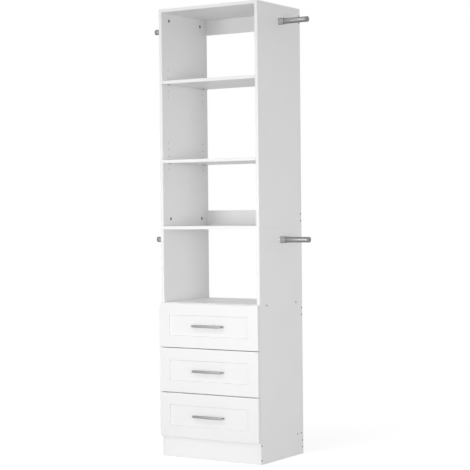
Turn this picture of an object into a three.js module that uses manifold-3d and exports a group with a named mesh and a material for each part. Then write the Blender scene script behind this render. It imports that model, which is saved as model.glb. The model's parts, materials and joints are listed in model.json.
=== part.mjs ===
// Closet tower: adjustable shelves over three drawers, with two short hanging rods on each side.
// Millimetres, +Z up, front towards -Y. The origin is on the floor, in the middle of the outer box.
// Pieces: an upper and a lower carcass with a full-width board between them, back rails instead of
// a back panel, shelves on pins, shaker drawers on three-member ball slides, bow pulls, rod cups.

import * as THREE from "three";
import { ConvexGeometry } from "three/addons/geometries/ConvexGeometry.js";
import { mergeVertices } from "three/addons/utils/BufferGeometryUtils.js";
import Module from "manifold-3d";

const wasm = await Module();
wasm.setup();

// Carcass boards
const carcassWidth = 540;
const carcassDepth = 384;
const towerHeight = 2095;
const boardThickness = 15;
const edgeEase = 0.5; // bevel on the banded edges of every board
const middleBoardTop = 1080;
const deckTop = 725; // top of the fixed shelf over the drawers

// Rails and plinth
const railHeight = 72;
const plinthHeight = 106;
const stretcherWidth = 72;
const baseRailLift = 12; // floor to the base back rail
const baseRailGap = 7; // base back rail to the stretcher over it

// Adjustable shelves on pins
const shelfHeightShares = { upper: 0.665, lower: 0.295 }; // of the height between the boards
const shelfEndGap = 1.5; // shelf end to the side panel, room for the pin's back plate
const shelfRearInset = 2;
const pinHoleDiameter = 5;
const pinHoleDepth = 9;
const pinHolePitch = 32;
const pinHolesBelow = { upper: 2, lower: 1 }; // spare holes under the one in use
const pinHolesAbove = { upper: 2, lower: 3 };
const pinColumnFrontInset = 50;
const pinColumnRearInset = 42;
const pinPlateWidth = 10;
const pinPlateThickness = 1.5;
const pinPlateReach = 10;
const pinBackThickness = 1;
const pinRise = 3; // shelf underside to the middle of the pin's peg

// Fixings drilled through the sides
const fixingFrontInset = 62;
const fixingRearInset = 59;
const camBoreDiameter = 15;
const camBoreDepth = 12.5;
const camEndInset = 34; // panel end to the middle of the cam lock
const screwShankDiameter = 5;
const screwHeadDiameter = 9;
const screwSinkDepth = 3;
const railScrewInset = 20; // rail edge to its screw

// Hanging rods, held in cups at mid-depth on the outer faces
const rodDiameter = 25;
const rodWall = 1.2;
const rodReach = 153; // side panel to the tip of the end cap
const rodCapRounding = 2; // round edge of the flat end cap
const rodCapLip = 8; // straight skirt of the end cap
const rodCapStep = 0.4; // how far the cap stands proud of the tube
const upperRodDrop = 78; // tower top to the rod's axis
const lowerRodDrop = 66; // middle board top to the rod's axis
const cupWall = 2;
const cupLength = 28;
const cupFloor = 3;
const cupFootFlare = 1.5; // foot ring beyond the cup's wall
const cupMouthBead = 0.8;
const cupScrewDiameter = 5;
const seatClearance = 0.3; // between a seated piece and the pocket it sits in

// Drawer fronts
const drawerNames = ["lower_drawer", "centre_drawer", "upper_drawer"];
const frontThickness = 18;
const frontStandoff = 2; // carcass edge to the back of a drawer front
const frontGap = 3;
const frontLap = 8; // how far the lowest front laps the plinth
const frontEase = 1.2;
const frameWidth = 55;
const recessDepth = 7;
const recessDraft = 1.5;

// Drawer boxes
const boxLength = 350;
const boxWall = 12;
const boxLift = 30; // lower edge of the front to the lower edge of the box
const boxHeadroom = 36; // upper edge of the box to the upper edge of the front
const bottomThickness = 3;
const bottomLift = 10;
const grooveDepth = 6;

// Bow pulls
const pullHoleSpacing = 160;
const pullProjection = 27;
const pullCrown = 3; // rise of the bow's middle over its shoulders
const pullShoulderRadius = 6;
const pullHeight = 12;
const pullFootHeight = 5;
const pullThickness = 6;
const pullFootThickness = 5;
const pullTaperLength = 24; // along the bow, from each foot
const pullScrewDiameter = 4.5;

// Three-member ball slides, u is measured from the cabinet side towards the drawer
const slideSpace = 13; // cabinet side to drawer side
const slideHeight = 45;
const slideFrontInset = 3; // carcass edge to the slides' front ends
const slideSheet = 1.2;
const slideWebGap = 1.2; // between a web and the flange tips that pass it
const slideRunningGap = 0.3;
const slideBend = 1; // outer bevel at each fold of the sheet
const cabinetMemberDepth = 9.5;
const cabinetMemberLip = 1.4; // beyond the flange's sheet
const outerBallDiameter = 3.7;
const innerBallDiameter = 2.9;
const retainerThickness = 1;
const retainerLength = 110;
const retainerBalls = 3;
const retainerBite = 0.2; // how far a retainer strip is let into the flange it is joined to
const slideScrewInset = 35;
const slideScrewDiameter = 4.5;

// Fineness of round forms and of cutting
const cutOverrun = 1;
const weldDistance = 0.001;
const boreSides = 8;
const camSides = 12;
const turnedSides = 18;
const capRoundingSteps = 2;
const ballSides = 6;
const ballRings = 4;
const pullBendSteps = 6; // rings of the loft in each bend of the bow
const pullSides = 8;
const pullSquarenessShare = 0.6; // exponent of the section's outline: 1 is an ellipse, 0 a box

// Places that follow from the sizes above
const innerWidth = carcassWidth - 2 * boardThickness;
const frontHeightsTotal = deckTop - plinthHeight + frontLap - drawerNames.length * frontGap;
const frontHeight = frontHeightsTotal / drawerNames.length;
const frontPitch = frontHeight + frontGap;
const lowestFront = plinthHeight - frontLap;
const overallDepth = carcassDepth + frontStandoff + frontThickness - recessDepth + pullProjection;
const rearFace = overallDepth / 2;
const frontFace = rearFace - carcassDepth;
const midDepth = (frontFace + rearFace) / 2;
const frontBack = frontFace - frontStandoff;
const frontPlane = frontBack - frontThickness;
const recessFloor = frontPlane + recessDepth;
const boxWidth = innerWidth - 2 * slideSpace;
const boxHeight = frontHeight - boxLift - boxHeadroom;
const boxRear = frontBack + boxLength;
const bottomTop = boxLift + bottomLift + bottomThickness;
const grooveHalfWidth = boxWidth / 2 - boxWall + grooveDepth;
const slideLength = boxLength - frontStandoff - slideFrontInset; // ends flush with the box
const slideStart = frontFace + slideFrontInset;
const slideEnd = slideStart + slideLength;
const slideAxisHeight = boxLift + boxHeight / 2;
const sides = { left: -1, right: 1 };
const shelfSpace = towerHeight - boardThickness - middleBoardTop;
const shelfUndersides = Object.fromEntries(
  Object.entries(shelfHeightShares).map(([name, share]) => [name, middleBoardTop + share * shelfSpace]),
);

// Finishes
const finish = (color, roughness, metalness) =>
  new THREE.MeshStandardMaterial({ color, roughness, metalness });
const whiteMelamine = finish(0xf2f2f2, 0.45, 0);
const whiteThermofoil = finish(0xf4f4f4, 0.4, 0);
const whiteHardboard = finish(0xececec, 0.6, 0);
const brushedNickel = finish(0x9a9a9a, 0.4, 1);
const silverLacquer = finish(0xa0a0a0, 0.4, 0.5);
const zincSteel = finish(0xb8b9ba, 0.35, 1);

// A closed surface as a solid that can be cut and joined
function solidOf(geometry) {
  const bare = new THREE.BufferGeometry();
  bare.setAttribute("position", geometry.getAttribute("position"));
  bare.setIndex(geometry.index);
  const merged = mergeVertices(bare, weldDistance);
  const vertProperties = merged.getAttribute("position").array;
  const triVerts = new Uint32Array(merged.index.array);
  return new wasm.Manifold(new wasm.Mesh({ numProp: 3, vertProperties, triVerts }));
}

function geometryOf(solid) {
  const mesh = solid.getMesh();
  const geometry = new THREE.BufferGeometry();
  geometry.setAttribute("position", new THREE.BufferAttribute(mesh.vertProperties, 3));
  geometry.setIndex(new THREE.BufferAttribute(mesh.triVerts, 1));
  geometry.computeVertexNormals();
  return geometry;
}

// The corners of a box, as low (0) or high (1) along X, Y and Z
const ends = [0, 1];
const boxCorners = ends.flatMap((x) => ends.flatMap((y) => ends.map((z) => [x, y, z])));

const join = (...solids) => wasm.Manifold.union(solids);
const cut = (solid, tools) => solid.subtract(wasm.Manifold.union(tools));

function addPiece(parent, name, solid, material) {
  const mesh = new THREE.Mesh(geometryOf(solid), material);
  mesh.name = name;
  parent.add(mesh);
}

// A board between two opposite corners, with every edge eased: each corner of the box gives
// three points, one flush with each face that meets there
function board(low, high, ease = edgeEase) {
  const points = [];
  for (const corner of boxCorners)
    for (const flush of corner.keys()) {
      const point = corner.map((end, axis) => {
        const inset = axis === flush ? 0 : ease;
        return end ? high[axis] - inset : low[axis] + inset;
      });
      points.push(new THREE.Vector3(...point));
    }
  return solidOf(new ConvexGeometry(points));
}

// A plain block, for cutting
function block(low, high) {
  const size = high.map((v, axis) => v - low[axis]);
  const geometry = new THREE.BoxGeometry(...size);
  return solidOf(geometry.translate(...low.map((v, axis) => v + size[axis] / 2)));
}

// A solid of revolution about the X axis: the profile holds [radius, distance along X] pairs,
// starts at the given place and runs towards +X or -X
function turnedAlongX(profile, segments, place, direction) {
  const points = profile.map(([radius, along]) => new THREE.Vector2(radius, along));
  const geometry = new THREE.LatheGeometry(points, segments);
  return solidOf(geometry.rotateZ((-direction * Math.PI) / 2).translate(...place));
}

function boreAlongX(diameter, place, direction, depth, segments = boreSides) {
  const radius = diameter / 2;
  const profile = [
    [0, -cutOverrun],
    [radius, -cutOverrun],
    [radius, depth],
    [0, depth],
  ];
  return turnedAlongX(profile, segments, place, direction);
}

function boreAlongY(diameter, x, z, yFrom, yTo) {
  const radius = diameter / 2;
  const geometry = new THREE.CylinderGeometry(radius, radius, yTo - yFrom, boreSides);
  return solidOf(geometry.translate(x, (yFrom + yTo) / 2, z));
}

// A screw hole through a side panel, countersunk from the outer face
function screwHole(side, y, z) {
  const shank = screwShankDiameter / 2;
  const head = screwHeadDiameter / 2;
  const profile = [
    [0, -cutOverrun],
    [head, -cutOverrun],
    [head, 0],
    [shank, screwSinkDepth],
    [shank, boardThickness + cutOverrun],
    [0, boardThickness + cutOverrun],
  ];
  return turnedAlongX(profile, boreSides, [(side * carcassWidth) / 2, y, z], -side);
}

// The two screws that hold an upright rail between the sides
function railScrews(side, y, railBottom, height) {
  const places = [railBottom + railScrewInset, railBottom + height - railScrewInset];
  return places.map((z) => screwHole(side, y, z));
}

// Places of the uprights' shared drilling pattern
const railMiddle = rearFace - boardThickness / 2;
const frontFixing = frontFace + fixingFrontInset;
const rearFixing = rearFace - fixingRearInset;
const pinColumns = [frontFace + pinColumnFrontInset, rearFace - pinColumnRearInset];
const topRailBottom = towerHeight - boardThickness - railHeight;
const deckRailBottom = deckTop - boardThickness - railHeight;
const baseRailHeight = plinthHeight - boardThickness - baseRailLift - baseRailGap;

function sidePanel(side, bottom, top) {
  const outer = (side * carcassWidth) / 2;
  const inner = (side * innerWidth) / 2;
  const low = [Math.min(outer, inner), frontFace, bottom];
  const high = [Math.max(outer, inner), rearFace, top];
  return board(low, high);
}

function lowerSide(side) {
  const deckMiddle = deckTop - boardThickness / 2;
  const stretcherMiddle = plinthHeight - boardThickness / 2;
  const stretcherScrews = [rearFace - railScrewInset, rearFace - stretcherWidth + railScrewInset];
  const holes = [
    screwHole(side, frontFixing, deckMiddle),
    screwHole(side, rearFixing, deckMiddle),
    ...stretcherScrews.map((y) => screwHole(side, y, stretcherMiddle)),
    ...railScrews(side, railMiddle, deckRailBottom, railHeight),
    ...railScrews(side, railMiddle, baseRailLift, baseRailHeight),
    ...railScrews(side, frontFace + boardThickness / 2, 0, plinthHeight),
  ];
  return cut(sidePanel(side, 0, middleBoardTop - boardThickness), holes);
}

// A shelf pin: a back plate flat on the side panel, folded out under the shelf's end.
// Its peg fills the hole behind it, so the pin is one solid with the panel that holds it.
function shelfPin(side, y, underside) {
  const wall = (side * innerWidth) / 2;
  const backFace = wall - side * pinBackThickness;
  const tip = wall - side * pinPlateReach;
  const root = wall + side * pinBackThickness;
  const halfWidth = pinPlateWidth / 2;
  const foot = underside - pinPlateThickness;
  const span = (a, b, low, high) =>
    block([Math.min(a, b), y - halfWidth, low], [Math.max(a, b), y + halfWidth, high]);
  return join(span(root, backFace, foot, underside + 2 * pinRise), span(root, tip, foot, underside));
}

// One column of pin holes, without the hole that its pin fills
function pinHoles(side, y, shelf) {
  const pegHeight = shelfUndersides[shelf] + pinRise;
  const holes = [];
  for (let step = -pinHolesBelow[shelf]; step <= pinHolesAbove[shelf]; step++) {
    const place = [(side * innerWidth) / 2, y, pegHeight + step * pinHolePitch];
    if (step !== 0) holes.push(boreAlongX(pinHoleDiameter, place, side, pinHoleDepth));
  }
  return holes;
}

const camBore = (side, y, z) =>
  boreAlongX(camBoreDiameter, [(side * innerWidth) / 2, y, z], side, camBoreDepth, camSides);

function upperSide(side) {
  const bottom = middleBoardTop;
  const top = towerHeight - boardThickness;
  const tools = [
    ...railScrews(side, railMiddle, topRailBottom, railHeight),
    ...railScrews(side, railMiddle, middleBoardTop, railHeight),
  ];
  for (const z of [bottom + camEndInset, top - camEndInset])
    for (const y of [frontFixing, rearFixing])
      tools.push(camBore(side, y, z));
  const pins = [];
  for (const shelf of Object.keys(shelfUndersides))
    for (const y of pinColumns) {
      tools.push(...pinHoles(side, y, shelf));
      pins.push(shelfPin(side, y, shelfUndersides[shelf]));
    }
  return join(cut(sidePanel(side, bottom, top), tools), ...pins);
}

// A board that runs right across the tower, over the sides under it
const fullBoard = (top) =>
  board(
    [-carcassWidth / 2, frontFace, top - boardThickness],
    [carcassWidth / 2, rearFace, top],
  );

// A board between the sides
const innerBoard = (yFrom, yTo, zFrom, zTo) =>
  board([-innerWidth / 2, yFrom, zFrom], [innerWidth / 2, yTo, zTo]);

const backRail = (bottom, height) =>
  innerBoard(rearFace - boardThickness, rearFace, bottom, bottom + height);

function shelf(underside) {
  const halfLength = innerWidth / 2 - shelfEndGap;
  return board(
    [-halfLength, frontFace, underside],
    [halfLength, rearFace - shelfRearInset, underside + boardThickness],
  );
}

// A cup that holds a rod's end: foot ring, wall, rounded mouth, and a screw hole in the floor
function rodCup(side, z) {
  const bore = rodDiameter / 2 + seatClearance;
  const outer = bore + cupWall;
  const profile = [
    [cupScrewDiameter / 2, 0],
    [outer + cupFootFlare, 0],
    [outer + cupFootFlare, cupFloor - cupFootFlare],
    [outer, cupFloor],
    [outer, cupLength - cupWall - cupMouthBead],
    [outer + cupMouthBead, cupLength - cupWall],
    [outer, cupLength],
    [bore, cupLength],
    [bore, cupFloor],
    [cupScrewDiameter / 2, cupFloor],
    [cupScrewDiameter / 2, 0],
  ];
  return turnedAlongX(profile, turnedSides, [(side * carcassWidth) / 2, midDepth, z], side);
}

// A tube with a flat, round-edged cap on its free end, open at the end in the cup
function rod(side, z) {
  const outer = rodDiameter / 2;
  const bore = outer - rodWall;
  const cap = outer + rodCapStep;
  const start = cupFloor + seatClearance;
  const roundingStart = rodReach - rodCapRounding;
  const capStart = roundingStart - rodCapLip;
  const profile = [
    [bore, start],
    [outer, start],
    [outer, capStart],
    [cap, capStart],
  ];
  for (let step = 0; step <= capRoundingSteps; step++) {
    const angle = (step / capRoundingSteps) * (Math.PI / 2);
    profile.push([
      cap - rodCapRounding * (1 - Math.cos(angle)),
      roundingStart + rodCapRounding * Math.sin(angle),
    ]);
  }
  profile.push([0, rodReach], [0, capStart], [bore, capStart], [bore, start]);
  return turnedAlongX(profile, turnedSides, [(side * carcassWidth) / 2, midDepth, z], side);
}

// A drawer front with a shallow raised frame round its recessed middle, drawn from its lower edge.
// The pocket's walls lean out, and its back has a groove for the drawer bottom.
function drawerFront() {
  const half = carcassWidth / 2;
  const slab = board([-half, frontPlane, 0], [half, frontBack, frontHeight], frontEase);
  const pocket = [];
  for (const [y, inset] of [
    [frontPlane, frameWidth],
    [recessFloor, frameWidth + recessDraft],
  ])
    for (const x of [-half + inset, half - inset])
      for (const z of [inset, frontHeight - inset]) pocket.push(new THREE.Vector3(x, y, z));
  const mouth = frameWidth;
  const opening = block(
    [-half + mouth, frontPlane - cutOverrun, mouth],
    [half - mouth, frontPlane, frontHeight - mouth],
  );
  const tools = [
    join(solidOf(new ConvexGeometry(pocket)), opening),
    bottomGroove(
      [-grooveHalfWidth, frontBack - grooveDepth],
      [grooveHalfWidth, frontBack + cutOverrun],
    ),
  ];
  for (const side of Object.values(sides))
    tools.push(
      boreAlongY(
        pullScrewDiameter,
        (side * pullHoleSpacing) / 2,
        frontHeight / 2,
        recessFloor - cutOverrun,
        frontBack + cutOverrun,
      ),
    );
  return cut(slab, tools);
}

// The groove that holds the drawer bottom, with clearance over and under it
function bottomGroove([xFrom, yFrom], [xTo, yTo]) {
  return block(
    [xFrom, yFrom, boxLift + bottomLift - seatClearance],
    [xTo, yTo, bottomTop + seatClearance],
  );
}

function drawerSide(side) {
  const outer = (side * boxWidth) / 2;
  const inner = outer - side * boxWall;
  const low = [Math.min(outer, inner), frontBack, boxLift];
  const high = [Math.max(outer, inner), boxRear, boxLift + boxHeight];
  const grooveFloor = inner + side * grooveDepth;
  const grooveMouth = inner - side * cutOverrun;
  const groove = bottomGroove(
    [Math.min(grooveFloor, grooveMouth), frontBack - cutOverrun],
    [Math.max(grooveFloor, grooveMouth), boxRear + cutOverrun],
  );
  return cut(board(low, high), [groove]);
}

// The back stands on the bottom board, between the drawer sides
function drawerBack() {
  const half = boxWidth / 2 - boxWall;
  return board(
    [-half, boxRear - boxWall, bottomTop],
    [half, boxRear, boxLift + boxHeight],
  );
}

function drawerBottom() {
  const half = grooveHalfWidth - seatClearance;
  return board(
    [-half, frontBack - grooveDepth + seatClearance, boxLift + bottomLift],
    [half, boxRear, bottomTop],
    0,
  );
}

// Points along the bow pull's middle line in plan, from foot to foot: x across the drawer,
// y out from the recessed panel
function bowLine() {
  const foot = pullHoleSpacing / 2;
  const reach = pullProjection - pullThickness / 2;
  const shoulder = reach - pullCrown;
  const bow = new THREE.Path();
  bow.moveTo(-foot, 0);
  bow.lineTo(-foot, shoulder - pullShoulderRadius);
  bow.quadraticCurveTo(-foot, shoulder, -foot + pullShoulderRadius, shoulder);
  bow.quadraticCurveTo(0, reach + pullCrown, foot - pullShoulderRadius, shoulder);
  bow.quadraticCurveTo(foot, shoulder, foot, shoulder - pullShoulderRadius);
  bow.lineTo(foot, 0);
  return bow.getPoints(pullBendSteps);
}

// The pull as a loft along its bow: a squared oval that narrows towards both feet
function pull() {
  const line = bowLine();
  const last = line.length - 1;
  const runs = [0];
  for (let ring = 1; ring <= last; ring++)
    runs.push(runs[ring - 1] + line[ring].distanceTo(line[ring - 1]));
  const positions = [];
  for (const [ring, point] of line.entries()) {
    const before = line[Math.max(ring - 1, 0)];
    const after = line[Math.min(ring + 1, last)];
    const tangent = after.clone().sub(before).normalize();
    const fromFoot = Math.min(runs[ring], runs[last] - runs[ring]);
    const taper = THREE.MathUtils.smoothstep(fromFoot, 0, pullTaperLength);
    const halfHeight = THREE.MathUtils.lerp(pullFootHeight, pullHeight, taper) / 2;
    const halfThickness = THREE.MathUtils.lerp(pullFootThickness, pullThickness, taper) / 2;
    for (let side = 0; side < pullSides; side++) {
      const angle = (side / pullSides) * 2 * Math.PI;
      const across = squared(Math.cos(angle)) * halfThickness;
      positions.push(
        point.x - tangent.y * across,
        recessFloor - point.y - tangent.x * across,
        frontHeight / 2 + squared(Math.sin(angle)) * halfHeight,
      );
    }
  }
  return solidOf(loftedTube(positions, pullSides));
}

const squared = (wave) => Math.sign(wave) * Math.abs(wave) ** pullSquarenessShare;

// Rings of the same number of points, skinned and closed with a flat fan at each end
function loftedTube(positions, around) {
  const rings = positions.length / 3 / around;
  const index = [];
  for (let ring = 0; ring < rings - 1; ring++)
    for (let side = 0; side < around; side++) {
      const a = ring * around + side;
      const b = ring * around + ((side + 1) % around);
      index.push(a, a + around, b, b, a + around, b + around);
    }
  const last = (rings - 1) * around;
  for (let side = 1; side < around - 1; side++) {
    index.push(0, side, side + 1);
    index.push(last, last + side + 1, last + side);
  }
  const geometry = new THREE.BufferGeometry();
  geometry.setAttribute("position", new THREE.Float32BufferAttribute(positions, 3));
  geometry.setIndex(index);
  return geometry;
}

// A prism of an outline drawn in X and Z, running along Y
function alongY(outline, yFrom, yTo) {
  const shape = new THREE.Shape(outline.map(([x, z]) => new THREE.Vector2(x, z)));
  const geometry = new THREE.ExtrudeGeometry(shape, { depth: yTo - yFrom, bevelEnabled: false });
  return solidOf(geometry.rotateX(Math.PI / 2).translate(0, yTo, 0));
}

// A folded sheet channel's outline: a web at u = 0, a flange at each end of it, and a lip turned
// in from each flange where the member has one
function channel(halfHeight, depth, lip = 0) {
  const flange = halfHeight - slideSheet;
  const turnedIn = [
    [depth, flange - lip],
    [depth - slideSheet, flange - lip],
    [depth - slideSheet, flange],
  ];
  const half = [
    [0, halfHeight - slideBend],
    [slideBend, halfHeight],
    [depth, halfHeight],
    ...(lip > 0 ? turnedIn : [[depth, flange]]),
    [slideSheet, flange],
  ];
  const mirrored = half.map(([u, v]) => [u, -v]).reverse();
  return [...half, ...mirrored];
}

// Slide sizes that follow from the sheet, the balls and the running gap
const outerRace = slideHeight / 2 - slideSheet;
const middleHalfHeight = outerRace - slideRunningGap - outerBallDiameter;
const innerRace = middleHalfHeight - slideSheet;
const drawerHalfHeight = innerRace - innerBallDiameter - slideRunningGap;
const middleStart = slideSheet + slideWebGap;
const middleDepth = slideSpace - 2 * middleStart;
const drawerMemberDepth = slideSpace - middleStart - slideSheet - slideWebGap;

// From a slide's own u and v to the tower's X and Z
const slideToTower = (side, height) => ([u, v]) => [side * (innerWidth / 2 - u), height + v];

// The slide screws' holes through the web at u, near both ends of a member
function slideScrewHoles(side, u) {
  const x = side * (innerWidth / 2 - u);
  return [slideStart + slideScrewInset, slideEnd - slideScrewInset].map((y) =>
    boreAlongX(
      slideScrewDiameter,
      [x, y, slideAxisHeight],
      -side,
      slideSheet + cutOverrun,
    ),
  );
}

function cabinetMember(side) {
  const outline = channel(slideHeight / 2, cabinetMemberDepth, cabinetMemberLip);
  const member = alongY(outline.map(slideToTower(side, slideAxisHeight)), slideStart, slideEnd);
  return cut(member, slideScrewHoles(side, 0));
}

function drawerMember(side) {
  const outline = channel(drawerHalfHeight, drawerMemberDepth).map(([u, v]) => [slideSpace - u, v]);
  const member = alongY(outline.map(slideToTower(side, slideAxisHeight)), slideStart, slideEnd);
  return cut(member, slideScrewHoles(side, slideSpace - slideSheet));
}

// One row of balls in its retainer strip. The row starts at the flange's face at height v and
// stands out from it, up or down, to within the running gap of the race that it runs in.
function ballRow(side, u, v, outward, diameter, yMiddle) {
  const place = slideToTower(side, slideAxisHeight);
  const half = diameter / 2;
  const strip = [
    [u - half, v - outward * retainerBite],
    [u + half, v - outward * retainerBite],
    [u + half, v + outward * retainerThickness],
    [u - half, v + outward * retainerThickness],
  ];
  const yFrom = yMiddle - retainerLength / 2;
  const pitch = retainerLength / retainerBalls;
  const [x, z] = place([u, v + outward * half]);
  const solids = [alongY(strip.map(place), yFrom, yFrom + retainerLength)];
  for (let ball = 0; ball < retainerBalls; ball++) {
    const sphere = new THREE.SphereGeometry(half, ballSides, ballRings, Math.PI / 2);
    solids.push(solidOf(sphere.translate(x, yFrom + (ball + 1 / 2) * pitch, z)));
  }
  return join(...solids);
}

// The middle member with its ball rows. The outer rows sit in its rear half and the inner rows
// in its front half, so they stay between the members when the drawer is out.
function middleMember(side) {
  const outline = channel(middleHalfHeight, middleDepth).map(([u, v]) => [u + middleStart, v]);
  const outerRow = cabinetMemberDepth / 2;
  const innerRow = (middleStart + slideSpace) / 2;
  const rearQuarter = slideEnd - slideLength / 4;
  const frontQuarter = slideStart + slideLength / 4;
  const rows = [1, -1].flatMap((up) => [
    ballRow(side, outerRow, up * middleHalfHeight, up, outerBallDiameter, rearQuarter),
    ballRow(side, innerRow, up * innerRace, -up, innerBallDiameter, frontQuarter),
  ]);
  return join(
    alongY(outline.map(slideToTower(side, slideAxisHeight)), slideStart, slideEnd),
    ...rows,
  );
}

function addCarcass(tower) {
  const carcass = new THREE.Group();
  for (const [name, side] of Object.entries(sides)) {
    addPiece(carcass, `lower_side_${name}`, lowerSide(side), whiteMelamine);
    addPiece(carcass, `upper_side_${name}`, upperSide(side), whiteMelamine);
  }
  addPiece(carcass, "top_board", fullBoard(towerHeight), whiteMelamine);
  addPiece(carcass, "middle_board", fullBoard(middleBoardTop), whiteMelamine);
  addPiece(
    carcass,
    "drawer_deck",
    innerBoard(frontFace, rearFace, deckTop - boardThickness, deckTop),
    whiteMelamine,
  );
  addPiece(
    carcass,
    "plinth",
    innerBoard(frontFace, frontFace + boardThickness, 0, plinthHeight),
    whiteMelamine,
  );
  addPiece(
    carcass,
    "base_stretcher",
    innerBoard(rearFace - stretcherWidth, rearFace, plinthHeight - boardThickness, plinthHeight),
    whiteMelamine,
  );
  addPiece(carcass, "base_back_rail", backRail(baseRailLift, baseRailHeight), whiteMelamine);
  addPiece(carcass, "deck_back_rail", backRail(deckRailBottom, railHeight), whiteMelamine);
  addPiece(carcass, "middle_back_rail", backRail(middleBoardTop, railHeight), whiteMelamine);
  addPiece(carcass, "top_back_rail", backRail(topRailBottom, railHeight), whiteMelamine);
  for (const [name, underside] of Object.entries(shelfUndersides))
    addPiece(carcass, `shelf_${name}`, shelf(underside), whiteMelamine);
  tower.add(carcass);
}

function addRods(tower) {
  const rods = new THREE.Group();
  const heights = { upper: towerHeight - upperRodDrop, lower: middleBoardTop - lowerRodDrop };
  for (const [level, z] of Object.entries(heights))
    for (const [name, side] of Object.entries(sides)) {
      addPiece(rods, `rod_cup_${level}_${name}`, rodCup(side, z), silverLacquer);
      addPiece(rods, `rod_${level}_${name}`, rod(side, z), silverLacquer);
    }
  tower.add(rods);
}

// One drawer, drawn from the lower edge of its front, and both its slides
function addDrawer(tower, name, level) {
  const drawer = new THREE.Group();
  drawer.position.z = lowestFront + level * frontPitch;
  addPiece(drawer, `${name}_front`, drawerFront(), whiteThermofoil);
  addPiece(drawer, `${name}_back`, drawerBack(), whiteMelamine);
  addPiece(drawer, `${name}_bottom`, drawerBottom(), whiteHardboard);
  addPiece(drawer, `${name}_pull`, pull(), brushedNickel);
  for (const [hand, side] of Object.entries(sides)) {
    addPiece(drawer, `${name}_side_${hand}`, drawerSide(side), whiteMelamine);
    addPiece(drawer, `${name}_slide_cabinet_member_${hand}`, cabinetMember(side), zincSteel);
    addPiece(drawer, `${name}_slide_middle_member_${hand}`, middleMember(side), zincSteel);
    addPiece(drawer, `${name}_slide_drawer_member_${hand}`, drawerMember(side), zincSteel);
  }
  tower.add(drawer);
}

const tower = new THREE.Group();
addCarcass(tower);
addRods(tower);
drawerNames.forEach((name, level) => addDrawer(tower, name, level));

export default tower;
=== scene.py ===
"""Visual model of a closet tower: melamine boards, foil-wrapped drawer fronts, metal fittings.

Laid out as a Blender add-on. Every piece sits on the packed frame, which is loaded here at the
top, in metres, +Z up, with the drawers opening towards -Y.
"""

import json
import math

import bmesh
import bpy
from bpy.props import FloatProperty, FloatVectorProperty, IntProperty, PointerProperty
from mathutils import Matrix, Vector

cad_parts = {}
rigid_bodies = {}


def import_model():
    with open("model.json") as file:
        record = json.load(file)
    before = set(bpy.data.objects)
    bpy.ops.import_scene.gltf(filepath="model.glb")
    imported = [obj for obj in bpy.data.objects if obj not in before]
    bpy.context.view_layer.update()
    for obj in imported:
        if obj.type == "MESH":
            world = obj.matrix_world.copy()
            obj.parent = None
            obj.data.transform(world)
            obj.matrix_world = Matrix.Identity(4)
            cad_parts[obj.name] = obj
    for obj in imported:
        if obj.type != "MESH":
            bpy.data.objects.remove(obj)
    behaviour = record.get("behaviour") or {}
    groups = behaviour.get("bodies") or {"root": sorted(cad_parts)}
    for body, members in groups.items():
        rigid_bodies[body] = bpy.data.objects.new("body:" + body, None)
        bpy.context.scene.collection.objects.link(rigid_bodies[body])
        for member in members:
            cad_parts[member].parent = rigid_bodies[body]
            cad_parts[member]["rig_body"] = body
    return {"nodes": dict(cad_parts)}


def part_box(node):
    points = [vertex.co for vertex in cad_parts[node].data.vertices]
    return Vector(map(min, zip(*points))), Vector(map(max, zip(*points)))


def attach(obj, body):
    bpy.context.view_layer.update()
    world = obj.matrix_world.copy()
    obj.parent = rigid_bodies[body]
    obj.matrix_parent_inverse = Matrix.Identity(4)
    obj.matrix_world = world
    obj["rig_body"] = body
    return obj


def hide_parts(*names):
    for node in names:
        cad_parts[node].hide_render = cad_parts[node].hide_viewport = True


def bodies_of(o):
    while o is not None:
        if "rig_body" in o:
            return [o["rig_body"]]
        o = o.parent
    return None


bl_info = {
    "name": "Closet Tower",
    "version": (1, 0, 0),
    "blender": (4, 5, 0),
    "location": "View3D > Sidebar > Closet Tower",
    "description": "Dresses a closet tower's frame with finishes, fittings and a studio",
    "category": "Add Mesh",
}

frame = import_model()

MM = 0.001
SIDES = {"left": -1, "right": 1}
LEVELS = ("upper", "lower")
DRAWERS = ("lower_drawer", "centre_drawer", "upper_drawer")

# Width of the photograph's frame, and the camera that goes with it
IMAGE_PIXELS = 470
SENSOR_WIDTH = 36.0
FAR_CLIP = 100.0

# Segments round each turned form; a hexagonal socket needs a multiple of six
SCREW_SIDES = 32
PANEL_SCREW_SIDES = 36
CAM_LOCK_SIDES = 64
PIN_HOLE_SIDES = 24
PULL_SIDES = 28
FLOOR_SIDES = 96
WELD_DISTANCE = 1e-7

# A Mix node's sockets: its factor, then those for two numbers or for two colours
FACTOR = 0
FIRST_NUMBER, SECOND_NUMBER = 2, 3
FIRST_COLOUR, SECOND_COLOUR = 6, 7


def linear(colour):
    """An sRGB hex colour as linear RGBA."""
    channels = [(colour >> shift & 255) / 255 for shift in (16, 8, 0)]
    curve = [c / 12.92 if c <= 0.04045 else ((c + 0.055) / 1.055) ** 2.4 for c in channels]
    return (*curve, 1.0)


def colour(name, description, value):
    return FloatVectorProperty(
        name=name, description=description, subtype="COLOR", size=4, min=0, max=1,
        default=linear(value),
    )


def length(name, description, millimetres):
    return FloatProperty(
        name=name, description=description, subtype="DISTANCE", unit="LENGTH", min=0,
        precision=4, default=millimetres * MM,
    )


# What a user would change


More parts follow.
